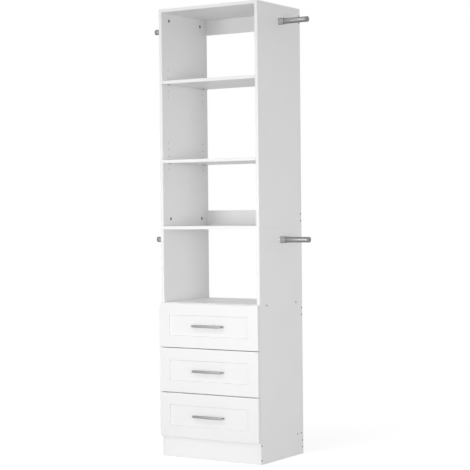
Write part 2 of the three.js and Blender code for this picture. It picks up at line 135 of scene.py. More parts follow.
class ClosetFinishes(bpy.types.PropertyGroup):
    """Colours of the boards, fronts and metals."""

    melamine: colour("Melamine", "Decor paper of the boards", 0xF2F2F2)
    edge_band: colour("Edge band", "Banding on the boards' edges", 0xEFEFEF)
    foil: colour("Front foil", "Foil pressed over the drawer fronts", 0xEFEFEF)
    hardboard: colour("Hardboard face", "Lacquered upper face of the drawer bottoms", 0xECECEC)
    hardboard_back: colour("Hardboard back", "Bare lower face of the drawer bottoms", 0xA98D6C)
    nickel: colour("Brushed nickel", "Plating of the pulls", 0x979797)
    silver: colour("Silver lacquer", "Flake lacquer on the rods", 0xA3A3A3)
    # Same lacquer as the rods, set lighter on the cups: painted light that offsets the shade they
    # get beside the side panel
    silver_cup_painted_lighter: colour("Silver cup", "Flake lacquer on the rods' cups, over zinc", 0xC2C2C2)
    cap: colour("Rod cap", "Moulded caps on the rods' ends", 0x868686)
    # Darker than bare chipboard: painted shade inside the shelf-pin holes
    chipboard: colour("Chipboard", "Bare core of the boards in the shelf-pin holes", 0x6B5B48)
    zinc: colour("Zinc plating", "Slides and their screws", 0xBABCBD)
    dull_nickel: colour("Dull nickel", "Plating of the panel screws and shelf pins", 0x7C7C7C)
    cast_zinc: colour("Cast zinc", "Cam locks", 0x83868A)


class ClosetRods(bpy.types.PropertyGroup):
    """Sizes of the hanging rods and their cups."""

    tube_diameter: length("Rod diameter", "Outside of the tube", 25)
    tube_wall: length("Tube wall", "Thickness of the tube's wall", 1.2)
    cap_step: length("Cap step", "How far the end cap stands proud of the tube", 0.4)
    cap_skirt: length("Cap skirt", "Straight part of the end cap", 8)
    cap_round: length("Cap rounding", "Round edge of the flat end cap", 2)
    cup_wall: length("Cup wall", "Thickness of the cup's wall", 2)
    cup_clearance: length("Cup clearance", "Between the rod and its cup", 0.3)
    cup_floor: length("Cup floor", "Thickness of the cup's floor", 3)
    cup_bead: length("Cup bead", "How far the bead at the cup's mouth stands out", 0.8)
    cup_foot: length("Cup foot", "How far the cup's foot ring stands out", 1.5)
    cup_lead: length("Cup lead-in", "Chamfer inside the cup's mouth", 1.4)
    sides: IntProperty(
        name="Sides", description="Segments round a rod", default=64, min=12, max=256
    )


class ClosetDrawers(bpy.types.PropertyGroup):
    """Sizes of the drawer fronts and their pulls."""

    frame_width: length("Frame width", "Raised frame round a front's panel", 55)
    recess: length("Recess", "Depth of the panel below its frame", 7)
    draft: length("Draft", "Lean of the recess walls", 1.5)
    outer_round: length("Outer rounding", "Rounding of a front's outer edges", 1.8)
    recess_round: length("Recess rounding", "Rounding of the recess's arris and corners", 0.7)
    hole_spacing: length("Hole spacing", "Between a pull's two screws", 160)
    projection: length("Projection", "Panel to the outermost point of the pull", 27)
    crown: length("Crown", "Rise of the bow's middle over its shoulders", 3)
    shoulder: length("Shoulder", "Radius where a leg turns into the bow", 6)
    height: length("Pull height", "Height of the bow", 12)
    foot_height: length("Foot height", "Height of the pull at its feet", 5)
    thickness: length("Pull thickness", "Thickness of the bow", 6)
    foot_thickness: length("Foot thickness", "Thickness of the pull at its feet", 5)
    taper: length("Taper", "Length of the taper from each foot", 34)


class ClosetFixings(bpy.types.PropertyGroup):
    """Places and sizes of the screws, cam locks and shelf pins."""

    front_inset: length("Front fixing inset", "Carcass front to the front fixings", 62)
    rear_inset: length("Rear fixing inset", "Carcass rear to the rear fixings", 59)
    rail_inset: length("Rail screw inset", "Rail edge to its screw", 20)
    cam_inset: length("Cam inset", "Panel end to the middle of a cam lock", 34)
    cam_diameter: length("Cam diameter", "Cam lock housing", 14.6)
    screw_head: length("Screw head", "Diameter of a panel screw's head", 8.8)
    screw_sink: length("Screw sink", "Depth of a panel screw's countersink", 2.9)
    pin_front_inset: length("Front pin inset", "Carcass front to the front shelf pins", 50)
    pin_rear_inset: length("Rear pin inset", "Carcass rear to the rear shelf pins", 42)
    pin_width: length("Pin width", "Width of a shelf pin's plates", 10)
    pin_pitch: length("Pin pitch", "Between two shelf-pin holes", 32)
    pin_rise: length("Pin rise", "Shelf underside to the middle of its pin holes", 3)
    slide_screw_inset: length("Slide screw inset", "Slide end to its screw", 35)


class ClosetStudio(bpy.types.PropertyGroup):
    """Camera, lamps and floor."""

    camera_place: FloatVectorProperty(
        name="Camera place", description="Where the camera stands", subtype="XYZ",
        unit="LENGTH", size=3, default=(3.6890, -5.7661, 1.1422),
    )
    camera_yaw: FloatProperty(
        name="Camera yaw", description="Turn about the vertical", subtype="ANGLE",
        default=math.radians(32.3807),
    )
    camera_pitch: FloatProperty(
        name="Camera pitch", description="Tilt above the horizon", subtype="ANGLE",
        default=math.radians(-0.8934),
    )
    camera_roll: FloatProperty(
        name="Camera roll", description="Turn about the line of sight", subtype="ANGLE",
        default=math.radians(-0.5496),
    )
    focal_pixels: FloatProperty(
        name="Focal length in pixels", description="At the width of the photograph's frame",
        default=1458.08, min=1,
    )
    key_power: FloatProperty(
        name="Key power", description="Large soft lamp before the fronts, a little to the left",
        subtype="POWER", unit="POWER", default=11.2, min=0,
    )
    top_power: FloatProperty(
        name="Top power", description="Soft lamp high before the fronts, for their shadows",
        subtype="POWER", unit="POWER", default=3.6, min=0,
    )
    side_power: FloatProperty(
        name="Side power", description="Large soft lamp to the right, towards the front",
        subtype="POWER", unit="POWER", default=11.9, min=0,
    )
    fill: FloatProperty(
        name="Fill", description="Level of the light from all round", default=0.52, min=0,
    )
    aim_height: length("Aim height", "Height of the spot that every lamp looks at", 900)
    spread: FloatProperty(
        name="Spread", description="Width of the beam that the lamps' grids let through",
        subtype="ANGLE", default=math.radians(48),
    )
    floor: colour("Floor", "Colour of the studio floor", 0xE0E0E0)
    floor_lift: FloatProperty(
        name="Floor lift", description="Paleness the camera sees beyond the floor's own light",
        default=0.58, min=0,
    )
    floor_radius: length("Floor radius", "Size of the studio floor", 14000)
    floor_fade_start: length("Fade start", "Where the floor begins to fade to white", 500)
    floor_fade_end: length("Fade end", "Where the floor is as white as the backdrop", 1600)


# Materials


def node(tree, kind, inputs=None, **settings):
    """Adds a shader node, sets its properties, and fills its inputs.

    An input takes a value, a socket to link, or a node, whose first output is linked.
    """
    made = tree.nodes.new(kind)
    for name, value in settings.items():
        setattr(made, name, value)
    for name, value in (inputs or {}).items():
        if isinstance(value, bpy.types.Node):
            value = next(socket for socket in value.outputs if socket.enabled)
        if isinstance(value, bpy.types.NodeSocket):
            tree.links.new(value, made.inputs[name])
        else:
            made.inputs[name].default_value = value
    return made


def new_material(name):
    """A node material with nothing in its tree."""
    material = bpy.data.materials.new(name)
    material.use_nodes = True
    material.node_tree.nodes.clear()
    return material, material.node_tree


def pattern(tree, size, stretch=(1, 1, 1), detail=1.0):
    """Soft irregular spots from 0 to 1 that measure size in metres, times stretch along XYZ."""
    place = node(tree, "ShaderNodeTexCoord").outputs["Object"]
    scale = [1 / (size * longer) for longer in stretch]
    mapped = node(tree, "ShaderNodeMapping", {"Vector": place, "Scale": scale})
    spots = node(
        tree, "ShaderNodeTexNoise", {"Vector": mapped, "Scale": 1.0, "Detail": detail}
    )
    # The middle of the noise's range, which holds nearly all of it
    return node(tree, "ShaderNodeMapRange", {"Value": spots, "From Min": 0.3, "From Max": 0.7})


def dimmed(tone, share):
    """A colour brought down by a share of itself."""
    return (*(channel * (1 - share) for channel in tone[:3]), 1.0)


def clouded(tree, tone, size, share):
    """A colour that dims by a share of itself in patches of that size in metres."""
    colours = {FIRST_COLOUR: tuple(tone), SECOND_COLOUR: dimmed(tone, share)}
    return node(
        tree, "ShaderNodeMix", {FACTOR: pattern(tree, size), **colours}, data_type="RGBA"
    )


def melamine(axis):
    """Melamine-faced chipboard with banded edges, for boards whose thickness runs along axis.

    The decor paper is pressed against a steel plate with a fine pearl grain: the eye gets a
    satin face with a soft, broken sheen. The extruded banding is smoother and a little duller.
    """
    finishes = bpy.context.scene.closet_finishes
    material, tree = new_material(f"white_melamine_{'xyz'[axis]}")
    normal = node(tree, "ShaderNodeTexCoord").outputs["Normal"]
    parts = node(tree, "ShaderNodeSeparateXYZ", {"Vector": normal})
    facing = node(tree, "ShaderNodeMath", {0: parts.outputs[axis]}, operation="ABSOLUTE")
    # 1 on the two broad faces, 0 on the banded edges
    face = node(tree, "ShaderNodeMath", {0: facing, 1: 0.9}, operation="GREATER_THAN")

    # Batch-to-batch cloudiness of the paper, some 250 mm across
    paper = clouded(tree, finishes.melamine, 250 * MM, 0.02)
    tone = node(
        tree, "ShaderNodeMix",
        {FACTOR: face, FIRST_COLOUR: tuple(finishes.edge_band), SECOND_COLOUR: paper},
        data_type="RGBA",
    )
    # Real pearl grain is 0.4 to 0.6 mm; 1.1 mm is the finest that still shows from a step away
    pearl = pattern(tree, 1.1 * MM)
    pearl_gloss = node(
        tree, "ShaderNodeMapRange", {"Value": pearl, "To Min": 0.40, "To Max": 0.52}
    )
    gloss = node(
        tree, "ShaderNodeMix", {FACTOR: face, FIRST_NUMBER: 0.34, SECOND_NUMBER: pearl_gloss}
    )
    grain = node(tree, "ShaderNodeMath", {0: pearl, 1: face}, operation="MULTIPLY")
    relief = node(tree, "ShaderNodeBump", {"Height": grain, "Distance": 0.007 * MM})
    shader = node(
        tree, "ShaderNodeBsdfPrincipled",
        {"Base Color": tone, "Roughness": gloss, "Normal": relief, "IOR": 1.5},
    )
    node(tree, "ShaderNodeOutputMaterial", {"Surface": shader})
    return material


def thermofoil():
    """PVC foil pressed over routed MDF: satin, with the faint orange peel of the membrane."""
    finishes = bpy.context.scene.closet_finishes
    material, tree = new_material("white_thermofoil")
    tone = clouded(tree, finishes.foil, 180 * MM, 0.012)
    # Orange peel is 2 to 4 mm from crest to crest and some hundredths of a millimetre deep
    peel = pattern(tree, 3 * MM)
    gloss = node(tree, "ShaderNodeMapRange", {"Value": peel, "To Min": 0.33, "To Max": 0.40})
    relief = node(tree, "ShaderNodeBump", {"Height": peel, "Distance": 0.005 * MM})
    shader = node(
        tree, "ShaderNodeBsdfPrincipled",
        {"Base Color": tone, "Roughness": gloss, "Normal": relief, "IOR": 1.52},
    )
    node(tree, "ShaderNodeOutputMaterial", {"Surface": shader})
    return material


def hardboard():
    """High-density fibreboard: white lacquer rolled on the face, bare pressed fibre below."""
    finishes = bpy.context.scene.closet_finishes
    material, tree = new_material("white_hardboard")
    normal = node(tree, "ShaderNodeTexCoord").outputs["Normal"]
    upwards = node(tree, "ShaderNodeSeparateXYZ", {"Vector": normal}).outputs["Z"]
    # 1 on the lower face and the cut edges, 0 on the lacquered face
    below = node(tree, "ShaderNodeMath", {0: upwards, 1: 0.2}, operation="LESS_THAN")
    # Fibres some 2 mm long lie every way in the sheet
    fibre = pattern(tree, 2 * MM, stretch=(2, 1, 1), detail=4.0)
    bare = node(
        tree, "ShaderNodeMix",
        {
            FACTOR: fibre, FIRST_COLOUR: tuple(finishes.hardboard_back),
            SECOND_COLOUR: dimmed(finishes.hardboard_back, 0.3),
        },
        data_type="RGBA",
    )
    tone = node(
        tree, "ShaderNodeMix",
        {FACTOR: below, FIRST_COLOUR: tuple(finishes.hardboard), SECOND_COLOUR: bare},
        data_type="RGBA",
    )
    gloss = node(tree, "ShaderNodeMix", {FACTOR: below, FIRST_NUMBER: 0.5, SECOND_NUMBER: 0.85})
    relief = node(tree, "ShaderNodeBump", {"Height": fibre, "Distance": 0.008 * MM})
    shader = node(
        tree, "ShaderNodeBsdfPrincipled",
        {"Base Color": tone, "Roughness": gloss, "Normal": relief},
    )
    node(tree, "ShaderNodeOutputMaterial", {"Surface": shader})
    return material


def chipboard():
    """The boards' bare core where a drill has cut it: torn flakes with dark gaps between, set
    darker than bare chipboard as painted shade inside the shelf-pin holes.
    """
    tone = bpy.context.scene.closet_finishes.chipboard
    material, tree = new_material("bare_chipboard")
    # Flakes are 0.5 to 2 mm across
    flakes = pattern(tree, 1.2 * MM, detail=3.0)
    # Both tones sit darker than bare chipboard, as painted shade inside the holes
    colours = {FIRST_COLOUR: dimmed(tone, 0.6), SECOND_COLOUR: tuple(tone)}
    mixed = node(tree, "ShaderNodeMix", {FACTOR: flakes, **colours}, data_type="RGBA")
    relief = node(tree, "ShaderNodeBump", {"Height": flakes, "Distance": 0.3 * MM})
    inputs = {"Base Color": mixed, "Roughness": 0.9, "Normal": relief}
    shader = node(tree, "ShaderNodeBsdfPrincipled", inputs)
    node(tree, "ShaderNodeOutputMaterial", {"Surface": shader})
    return material


def metal(name, tone, rough, streak, size, depth, **inputs):
    """A plated or lacquered metal, with lines of that size in metres in its gloss and relief."""
    material, tree = new_material(name)
    uneven = clouded(tree, tone, 30 * MM, 0.05)
    lines = pattern(tree, size, stretch=streak, detail=3.0)
    gloss = node(
        tree, "ShaderNodeMapRange", {"Value": lines, "To Min": rough[0], "To Max": rough[1]}
    )
    relief = node(tree, "ShaderNodeBump", {"Height": lines, "Distance": depth})
    inputs = {"Base Color": uneven, "Roughness": gloss, "Normal": relief, **inputs}
    shader = node(tree, "ShaderNodeBsdfPrincipled", inputs)
    node(tree, "ShaderNodeOutputMaterial", {"Surface": shader})
    return material


def brushed_nickel():
    """Nickel plate brushed along the pull: fine lines that spread the light up and down."""
    tone = bpy.context.scene.closet_finishes.nickel
    # Brush lines are 0.1 mm apart; 0.5 mm is the finest that shows
    return metal(
        "brushed_nickel", tone, (0.34, 0.46), (60, 1, 1), 0.5 * MM, 0.004 * MM, Metallic=0.6
    )


def silver_lacquer(name, tone):
    """Aluminium flake in clear lacquer, sprayed on metal: bright face on, dark at a glance.

    The flakes settle flat, so little light leaves along the surface: the tint takes it out there.
    """
    # Flakes are 0.03 mm; 0.6 mm is the finest sparkle that shows
    return metal(
        name, tone, (0.30, 0.42), (1, 1, 1), 0.6 * MM, 0.0016 * MM,
        **{"Metallic": 1.0, "Specular Tint": (0, 0, 0, 1)},
    )


def moulded_abs():
    """ABS coloured grey in the mass and moulded: an even satin with a fine spark-eroded grain."""
    finishes = bpy.context.scene.closet_finishes
    material, tree = new_material("moulded_abs")
    tone = clouded(tree, finishes.cap, 12 * MM, 0.03)
    # Spark-eroded grain is 0.1 mm; 0.6 mm is the finest that shows
    grain = pattern(tree, 0.6 * MM)
    gloss = node(tree, "ShaderNodeMapRange", {"Value": grain, "To Min": 0.42, "To Max": 0.52})
    relief = node(tree, "ShaderNodeBump", {"Height": grain, "Distance": 0.004 * MM})
    shader = node(
        tree, "ShaderNodeBsdfPrincipled",
        {"Base Color": tone, "Roughness": gloss, "Normal": relief, "IOR": 1.54},
    )
    node(tree, "ShaderNodeOutputMaterial", {"Surface": shader})
    return material


def zinc_plated_steel():
    """Cold-rolled strip with bright zinc: a bluish half-gloss with rolling lines along it."""
    tone = bpy.context.scene.closet_finishes.zinc
    return metal(
        "zinc_plated_steel", tone, (0.24, 0.36), (1, 50, 1), 0.6 * MM, 0.0024 * MM, Metallic=1.0
    )


def nickel_plated_steel():
    """Thin nickel barrel-plated on steel screws: a dull, slightly cloudy grey."""
    tone = bpy.context.scene.closet_finishes.dull_nickel
    return metal(
        "nickel_plated_steel", tone, (0.36, 0.5), (1, 1, 1), 0.5 * MM, 0.004 * MM, Metallic=1.0
    )


def die_cast_zinc():
    """Zinc as it leaves the die: dull grey with a sandy skin."""
    tone = bpy.context.scene.closet_finishes.cast_zinc
    return metal(
        "die_cast_zinc", tone, (0.42, 0.6), (1, 1, 1), 0.5 * MM, 0.012 * MM, Metallic=1.0
    )


# Mesh helpers


def finished(name, mesh_data, material, body, crease=32):
    """Turns a bmesh into a piece that is smooth but for its creases, and rides on a body."""
    mesh = bpy.data.meshes.new(name)
    bmesh.ops.recalc_face_normals(mesh_data, faces=mesh_data.faces)
    mesh_data.to_mesh(mesh)
    mesh_data.free()
    mesh.shade_smooth()
    mesh.set_sharp_from_angle(angle=math.radians(crease))
    mesh.materials.append(material)
    piece = bpy.data.objects.new(name, mesh)
    bpy.context.collection.objects.link(piece)
    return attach(piece, body)


def turned(made, rings, sides, centre, axis, up=Vector((0, 0, 1))):
    """Adds a solid of revolution: rings are (radius or outline of the angle, distance along)."""
    axis = Vector(axis).normalized()
    across = axis.cross(up).normalized()
    upright = across.cross(axis)
    loops = []
    for radius, along in rings:
        middle = Vector(centre) + axis * along
        if radius == 0:
            loops.append([made.verts.new(middle)])
            continue
        loop = []
        for step in range(sides):
            angle = 2 * math.pi * step / sides
            reach = radius(angle) if callable(radius) else radius
            spoke = across * math.cos(angle) + upright * math.sin(angle)
            loop.append(made.verts.new(middle + spoke * reach))
        loops.append(loop)
    for low, high in zip(loops, loops[1:]):
        for step in range(sides):
            after = (step + 1) % sides
            if len(low) == 1 and len(high) == 1:
                break
            if len(low) == 1:
                made.faces.new((low[0], high[step], high[after]))
            elif len(high) == 1:
                made.faces.new((low[step], high[0], low[after]))
            else:
                made.faces.new((low[step], high[step], high[after], low[after]))


def hexagon(across_flats):
    """The outline of a hexagonal socket."""
    return lambda angle: across_flats / 2 / math.cos((angle % (math.pi / 3)) - math.pi / 6)


def cross(reach, width):
    """The outline of a cross recess."""

    def outline(angle):
        never_zero = 1e-9
        flat, steep = abs(math.cos(angle)) + never_zero, abs(math.sin(angle)) + never_zero
        half = width / 2
        return max(min(reach / flat, half / steep), min(reach / steep, half / flat))

    return outline


def squared(wave):
    """Flattens a circle's wave, so that a pull's section is a squared oval."""
    flatness = 0.6
    return math.copysign(abs(wave) ** flatness, wave)


def middle(low, high):
    return (Vector(low) + Vector(high)) / 2


def face_of(side_panel, outer, hand):
    """Where a side panel's outer or inner face lies along X; hand is 1 on the right, -1 left."""
    low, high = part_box(side_panel)
    return high.x if (hand > 0) == outer else low.x


def body_of(name):
    """The body that a node rides on in the frame."""
    (body,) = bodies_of(frame["nodes"][name])
    return body


# Operators


BOARDS = {
    0: [
        *(f"{level}_side_{side}" for level in LEVELS for side in SIDES),
        *(f"{drawer}_side_{side}" for drawer in DRAWERS for side in SIDES),
    ],
    1: [
        "plinth", "base_back_rail", "deck_back_rail", "middle_back_rail", "top_back_rail",
        *(f"{drawer}_back" for drawer in DRAWERS),
    ],
    2: [
        "top_board", "middle_board", "drawer_deck", "base_stretcher", "shelf_upper",
        "shelf_lower",
    ],
}


def paint(name, material):
    """Gives a frame node its finish."""
    slots = frame["nodes"][name].data.materials
    slots.clear()
    slots.append(material)


class CLOSET_OT_boards(bpy.types.Operator):
    """Finish the carcass boards, shelves, rails and drawer boxes"""

    bl_idname = "closet.boards"
    bl_label = "Boards"

    def execute(self, context):
        for axis, names in BOARDS.items():
            material = melamine(axis)
            for name in names:
                paint(name, material)
        bottom = hardboard()
        for drawer in DRAWERS:
            paint(f"{drawer}_bottom", bottom)
        return {"FINISHED"}


class CLOSET_OT_slides(bpy.types.Operator):
    """Finish the drawer slides and screw them down"""

    bl_idname = "closet.slides"
    bl_label = "Drawer slides"

    def execute(self, context):
        steel = zinc_plated_steel()
        inset = context.scene.closet_fixings.slide_screw_inset
        for drawer in DRAWERS:
            for side, hand in SIDES.items():
                for member in ("cabinet", "middle", "drawer"):
                    paint(f"{drawer}_slide_{member}_member_{side}", steel)
                for member, facing in (("cabinet", -hand), ("drawer", hand)):
                    name = f"{drawer}_slide_{member}_member_{side}"
                    low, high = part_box(name)
                    x = low.x if facing > 0 else high.x
                    made = bmesh.new()
                    for y in (low.y + inset, high.y - inset):
                        self.screw(made, (x, y, (low.z + high.z) / 2), facing)
                    finished(f"{name}_screws", made, steel, body_of(name))
        return {"FINISHED"}

    def screw(self, made, place, facing):
        """A low round head on a slide's 1.2 mm web, with a cross recess."""
        sheet, head, rise, shank = 1.2 * MM, 3.6 * MM, 0.9 * MM, 2.1 * MM
        recess = cross(1.9 * MM, 0.8 * MM)
        rings = [
            (0, 0), (shank, 0), (shank, sheet), (head, sheet), (head, sheet + 0.3 * MM),
            (head * 0.8, sheet + rise), (recess, sheet + rise), (recess, sheet + 0.2 * MM),
            (0, sheet + 0.2 * MM),
        ]
        turned(made, rings, SCREW_SIDES, place, (facing, 0, 0))


class CLOSET_OT_rods(bpy.types.Operator):
    """Build the hanging rods and the cups that hold them"""

    bl_idname = "closet.rods"
    bl_label = "Hanging rods"

    def execute(self, context):
        rods, finishes = context.scene.closet_rods, context.scene.closet_finishes
        tubing = silver_lacquer("silver_lacquer_on_steel", finishes.silver)
        # The cups' lacquer is painted lighter than the rods' to offset their shade beside the
        # side panel
        cup_lacquer_painted_lighter = silver_lacquer("silver_lacquer_on_zinc", finishes.silver_cup_painted_lighter)
        grey = moulded_abs()
        steel = zinc_plated_steel()
        for level in LEVELS:
            for side, hand in SIDES.items():
                cup_name, rod_name = f"rod_cup_{level}_{side}", f"rod_{level}_{side}"
                low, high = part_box(cup_name)
                base = Vector((low.x if hand > 0 else high.x, *middle(low, high)[1:]))
                depth = high.x - low.x
                self.cup(rods, cup_name, base, hand, depth, cup_lacquer_painted_lighter)
                self.screw(rods, f"{cup_name}_screw", base, hand, steel)
                low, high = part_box(rod_name)
                start = (low.x if hand > 0 else -high.x) - base.x * hand
                end = start + high.x - low.x
                self.tube(rods, rod_name, base, hand, (start, end), tubing)
                self.cap(rods, f"{rod_name}_cap", base, hand, end, grey)
        return {"FINISHED"}

    def cup(self, rods, name, base, hand, depth, material):
        bore = rods.tube_diameter / 2 + rods.cup_clearance
        wall = bore + rods.cup_wall
        foot, bead = wall + rods.cup_foot, wall + rods.cup_bead
        ease, nick, screw = 0.4 * MM, 0.2 * MM, 2.5 * MM
        bead_top = depth - rods.cup_wall + ease
        rings = [
            (screw, 0), (foot, 0), (foot, 1 * MM), (foot - ease, 1.5 * MM),
            (wall + ease, 1.9 * MM), (wall + nick / 2, 2.4 * MM), (wall, rods.cup_floor),
            (wall, bead_top - 4 * ease), (bead - nick, bead_top - 3 * ease),
            (bead, bead_top - 2 * ease), (bead, bead_top - ease),
            (bead - nick, bead_top), (wall, depth - ease), (wall - nick, depth),
            (bore + rods.cup_lead, depth), (bore, depth - 2 * rods.cup_lead),
            (bore, rods.cup_floor),
            (screw, rods.cup_floor), (screw, 0),
        ]
        made = bmesh.new()
        turned(made, rings, rods.sides, base, (hand, 0, 0))
        bmesh.ops.remove_doubles(made, verts=made.verts, dist=WELD_DISTANCE)
        piece = finished(f"{name}_turned", made, material, body_of(name))
        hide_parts(name)

    def screw(self, rods, name, base, hand, material):
        """A pan head on the cup's floor, inside the rod."""
        floor, head, shank, tip = rods.cup_floor, 4 * MM, 2.3 * MM, 0.2 * MM
        recess = cross(2.2 * MM, 1 * MM)
        rings = [
            (0, tip), (shank, tip), (shank, floor), (head, floor),
            (head, floor + 1.2 * MM), (head * 0.75, floor + 2 * MM), (recess, floor + 2 * MM),
            (recess, floor + 0.6 * MM), (0, floor + 0.6 * MM),
        ]
        made = bmesh.new()
        turned(made, rings, SCREW_SIDES, base, (hand, 0, 0))
        finished(name, made, material, "carcass")

    def tube(self, rods, name, base, hand, reach, material):
        """The steel tube, from its start inside the cup to where its cap sits."""
        start, end = reach[0], reach[1] - rods.cap_round - rods.cap_skirt
        outer = rods.tube_diameter / 2
        bore, ease = outer - rods.tube_wall, 0.15 * MM
        rings = [
            (bore, start), (outer - ease, start), (outer, start + ease), (outer, end),
            (bore, end), (bore, start),
        ]
        made = bmesh.new()
        turned(made, rings, rods.sides, base, (hand, 0, 0))
        bmesh.ops.remove_doubles(made, verts=made.verts, dist=WELD_DISTANCE)
        piece = finished(f"{name}_turned", made, material, body_of(name))
        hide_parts(name)

    def cap(self, rods, name, base, hand, end, material):
        """A flat cap with a round edge and a spigot that plugs the tube."""
        radius = rods.tube_diameter / 2 + rods.cap_step
        clearance, ease, steps = 0.05 * MM, 0.15 * MM, 8
        spigot = rods.tube_diameter / 2 - rods.tube_wall - clearance
        rounding = end - rods.cap_round
        skirt = rounding - rods.cap_skirt
        seat = skirt + clearance
        rings = [
            (0, skirt - rods.cap_skirt), (spigot, skirt - rods.cap_skirt), (spigot, seat),
            (radius - ease, seat), (radius, seat + ease),
        ]
        for step in range(steps + 1):
            angle = step / steps * math.pi / 2
            rings.append((
                radius - rods.cap_round * (1 - math.cos(angle)),
                rounding + rods.cap_round * math.sin(angle),
            ))
        rings.append((0, end))
        made = bmesh.new()
        turned(made, rings, rods.sides, base, (hand, 0, 0))
        finished(name, made, material, "carcass")


class CLOSET_OT_drawer_fronts(bpy.types.Operator):
    """Build the drawer fronts: routed, with every edge rounded under the foil"""

    bl_idname = "closet.drawer_fronts"
    bl_label = "Drawer fronts"

    def execute(self, context):
        sizes = context.scene.closet_drawers
        foil = thermofoil()
        for drawer in DRAWERS:
            name = f"{drawer}_front"
            low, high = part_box(name)
            piece = finished(
                f"{name}_routed", self.front(sizes, low, high), foil, body_of(name),
                crease=60,
            )
            weighted = piece.modifiers.new("flat_faces", "WEIGHTED_NORMAL")
            weighted.keep_sharp = True
            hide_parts(name)
        return {"FINISHED"}

    def front(self, sizes, low, high):
        """Back, outer rim, arris and floor of the recess as rings of corners, then rounded."""
        made = bmesh.new()
        insets = (0, sizes.frame_width, sizes.frame_width + sizes.draft)
        depths = (low.y, low.y, low.y + sizes.recess)
        rings = [[
            made.verts.new((x, high.y, z))
            for x, z in ((low.x, low.z), (high.x, low.z), (high.x, high.z), (low.x, high.z))
        ]]
        for inset, y in zip(insets, depths):
            corners = (
                (low.x + inset, low.z + inset), (high.x - inset, low.z + inset),
                (high.x - inset, high.z - inset), (low.x + inset, high.z - inset),
            )
            rings.append([made.verts.new((x, y, z)) for x, z in corners])
        for back, fore in zip(rings, rings[1:]):
            for corner in range(4):
                after = (corner + 1) % 4
                made.faces.new((back[corner], back[after], fore[after], fore[corner]))
        made.faces.new(rings[0][::-1])
        made.faces.new(rings[-1])
        bmesh.ops.recalc_face_normals(made, faces=made.faces)
        rim = {vertex for ring in rings[:2] for vertex in ring}
        pocket = {vertex for ring in rings[2:] for vertex in ring}
        outer = [e for e in made.edges if set(e.verts) <= rim]
        inner = [e for e in made.edges if set(e.verts) <= pocket]
        for edges, rounding, segments in (
            (outer, sizes.outer_round, 4), (inner, sizes.recess_round, 3)
        ):
            bmesh.ops.bevel(
                made, geom=[e for e in edges if e.is_valid], offset=rounding,
                segments=segments, profile=0.5, affect="EDGES", offset_type="OFFSET",
                clamp_overlap=True,
            )
        return made


class CLOSET_OT_pulls(bpy.types.Operator):
    """Build the bow pulls and the screws behind them"""

    bl_idname = "closet.pulls"
    bl_label = "Bow pulls"

    def execute(self, context):
        sizes = context.scene.closet_drawers
        nickel = brushed_nickel()
        steel = zinc_plated_steel()
        for drawer in DRAWERS:
            name = f"{drawer}_pull"
            low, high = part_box(name)
            front_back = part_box(f"{drawer}_front")[1].y
            panel = high.y
            height = (low.z + high.z) / 2
            made = bmesh.new()
            self.loft(sizes, made, panel, height)
            piece = finished(f"{name}_bow", made, nickel, body_of(name), 50)
            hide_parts(name)
            made = bmesh.new()
            for hand in SIDES.values():
                place = (hand * sizes.hole_spacing / 2, front_back, height)
                self.screw(made, place)
            finished(f"{name}_screws", made, steel, body_of(name))
        return {"FINISHED"}

    def line(self, sizes):
        """Points along the bow in plan, feet to feet: x across, y out from the panel."""
        foot = sizes.hole_spacing / 2
        reach = sizes.projection - sizes.thickness / 2
        shoulder = reach - sizes.crown
        radius = sizes.shoulder
        # Each run's start, its bend where it has one, and its end
        runs = [
            ((-foot, 0), None, (-foot, shoulder - radius)),
            ((-foot, shoulder - radius), (-foot, shoulder), (-foot + radius, shoulder)),
            ((-foot + radius, shoulder), (0, reach + sizes.crown), (foot - radius, shoulder)),
            ((foot - radius, shoulder), (foot, shoulder), (foot, shoulder - radius)),
            ((foot, shoulder - radius), None, (foot, 0)),
        ]
        points, curved_steps, straight_steps = [], 40, 12
        for start, bend, end in runs:
            steps = curved_steps if bend else straight_steps
            for step in range(steps):
                share = step / steps
                if bend:
                    weights = ((1 - share) ** 2, 2 * share * (1 - share), share ** 2)
                    spots = (start, bend, end)
                else:
                    weights, spots = (1 - share, share), (start, end)
                points.append(Vector([
                    sum(w * spot[i] for w, spot in zip(weights, spots)) for i in (0, 1)
                ]))
        points.append(Vector(runs[-1][2]))
        return points

    def loft(self, sizes, made, panel, height):
        """Carries the pull's section along the bow, slimmer towards its feet."""
        points = self.line(sizes)
        run = [0.0]
        for a, b in zip(points, points[1:]):
            run.append(run[-1] + (b - a).length)
        loops = []
        for place, point in enumerate(points):
            before, after = points[max(place - 1, 0)], points[min(place + 1, len(points) - 1)]
            tangent = (after - before).normalized()
            if place in (0, len(points) - 1):
                tangent = Vector((0, 1 if place == 0 else -1))
            share = min(min(run[place], run[-1] - run[place]) / sizes.taper, 1)
            eased = share * share * (3 - 2 * share)
            tall = (sizes.foot_height + (sizes.height - sizes.foot_height) * eased) / 2
            thick = sizes.foot_thickness + (sizes.thickness - sizes.foot_thickness) * eased
            loop = []
            for step in range(PULL_SIDES):
                angle = 2 * math.pi * step / PULL_SIDES
                across = squared(math.cos(angle)) * thick / 2
                loop.append(made.verts.new((
                    point.x - tangent.y * across,
                    panel - point.y - tangent.x * across,
                    height + squared(math.sin(angle)) * tall,
                )))
            loops.append(loop)
        for a, b in zip(loops, loops[1:]):
            for step in range(PULL_SIDES):
                after = (step + 1) % PULL_SIDES
                made.faces.new((a[step], a[after], b[after], b[step]))
        made.faces.new(loops[0][::-1])
        made.faces.new(loops[-1])

    def screw(self, made, place):
        """A truss head on the back of a drawer front."""
        head, rise, shank, sunk = 4.5 * MM, 2 * MM, 2 * MM, 3 * MM
        recess = cross(2.3 * MM, 1 * MM)
        rings = [
            (0, -sunk), (shank, -sunk), (shank, 0), (head, 0), (head, 0.4 * MM),
            (head * 0.9, 1.1 * MM), (head * 0.7, 1.7 * MM), (head * 0.5, rise),
            (recess, rise), (recess, 0.5 * MM), (0, 0.5 * MM),
        ]
        turned(made, rings, SCREW_SIDES, place, (0, 1, 0))


